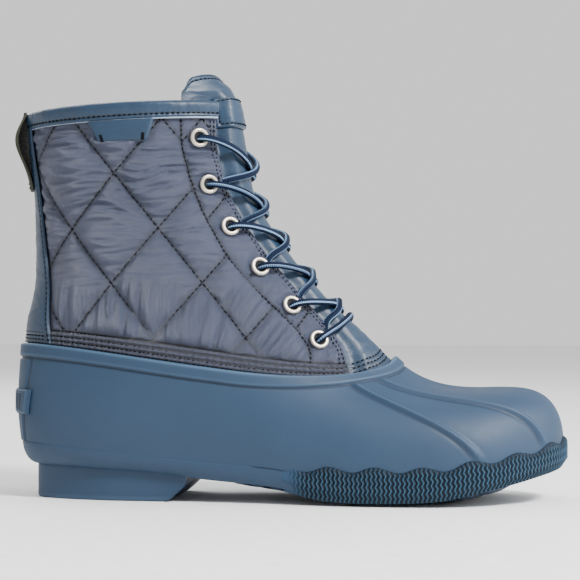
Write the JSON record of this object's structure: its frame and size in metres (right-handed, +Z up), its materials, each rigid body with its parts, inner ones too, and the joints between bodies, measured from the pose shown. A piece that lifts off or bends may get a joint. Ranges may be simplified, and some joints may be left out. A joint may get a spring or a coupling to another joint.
{
  "type": "duck boot",
  "caption": "Right duck boot: quilted nylon shaft and laced leather tongue over a moulded rubber foot with ribbed toe strip and low heel.",
  "frame": {"origin": "on the floor under the middle of the boot's bounding box", "axes": "+X to the toe, +Z up, -Y to the outer side of the foot"},
  "size_m": [0.2801, 0.1032, 0.2132],
  "materials": {
    "rubber": "matte slate blue moulded rubber",
    "rib_rubber": "dark teal ribbed rubber",
    "nylon": "slate grey quilted nylon",
    "leather": "smooth blue leather",
    "webbing": "dark brown webbing",
    "eyelet_metal": "cream lacquer",
    "lace": "navy braided cord with a light blue stripe",
    "sock_lining": "dark grey felt"
  },
  "bodies": {
    "root": {"outsole": "rubber", "rubber_shell": "rubber", "heel_badge": "rubber", "foxing": "rib_rubber", "insole": "sock_lining", "upper": "nylon", "collar_band": "leather", "heel_strip": "leather", "side_patch": "leather", "tongue": "leather", "tongue_keeper": "leather", "pull_loop": "webbing", "eyelet_outer_1": "eyelet_metal", "eyelet_inner_1": "eyelet_metal", "eyelet_outer_2": "eyelet_metal", "eyelet_inner_2": "eyelet_metal", "eyelet_outer_3": "eyelet_metal", "eyelet_inner_3": "eyelet_metal", "eyelet_outer_4": "eyelet_metal", "eyelet_inner_4": "eyelet_metal", "eyelet_outer_5": "eyelet_metal", "eyelet_inner_5": "eyelet_metal", "eyelet_outer_6": "eyelet_metal", "eyelet_inner_6": "eyelet_metal", "lace_cross_1": "lace", "lace_cross_2": "lace", "lace_cross_3": "lace", "lace_cross_4": "lace", "lace_cross_5": "lace", "lace_bar": "lace"}
  },
  "joints": []
}
